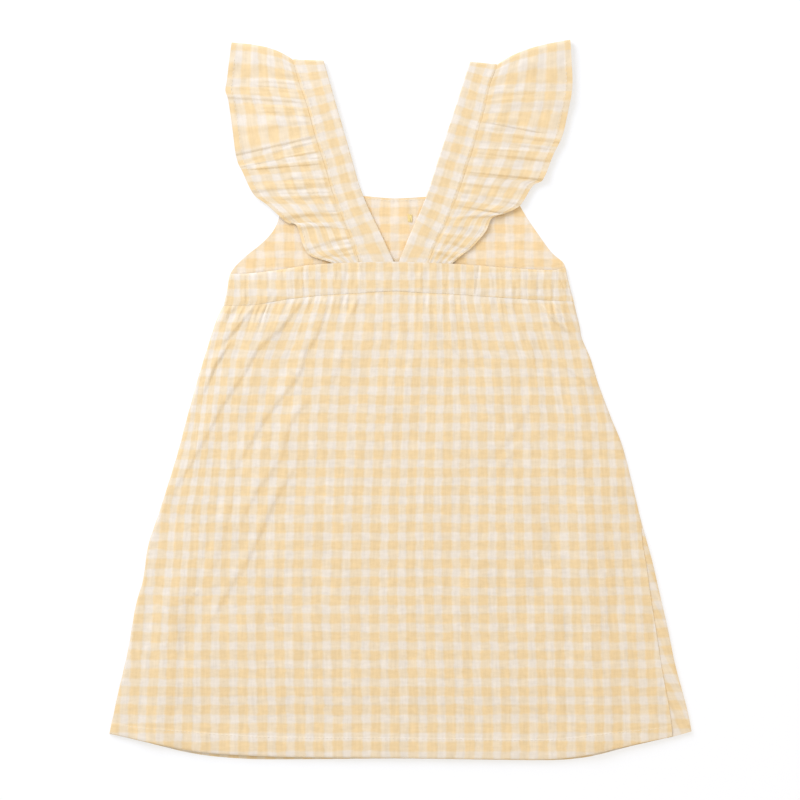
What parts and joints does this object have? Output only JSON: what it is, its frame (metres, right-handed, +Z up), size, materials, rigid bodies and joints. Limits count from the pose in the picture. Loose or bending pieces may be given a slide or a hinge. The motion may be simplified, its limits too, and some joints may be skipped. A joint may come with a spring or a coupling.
{
  "type": "child's gingham sundress with ruffled straps, laid flat with its back up",
  "caption": "Child's A-line gingham sundress laid flat, back up: ruched back waistband, straps crossing to a V, a gathered ruffle over each shoulder.",
  "frame": {"origin": "middle of the dress's box, on the surface that it lies on", "axes": "+Z up out of the dress's back, +Y from the hem to the shoulders, +X to the wearer's right"},
  "size_m": [0.419, 0.5185, 0.0073],
  "materials": {
    "gingham": "matt crinkled cotton seersucker, pale yellow and off-white gingham"
  },
  "bodies": {
    "root": {"front_skirt": "gingham", "front_bodice": "gingham", "back_skirt": "gingham", "back_waistband": "gingham", "strap_left": "gingham", "strap_right": "gingham", "ruffle_left": "gingham", "ruffle_right": "gingham"}
  },
  "joints": []
}
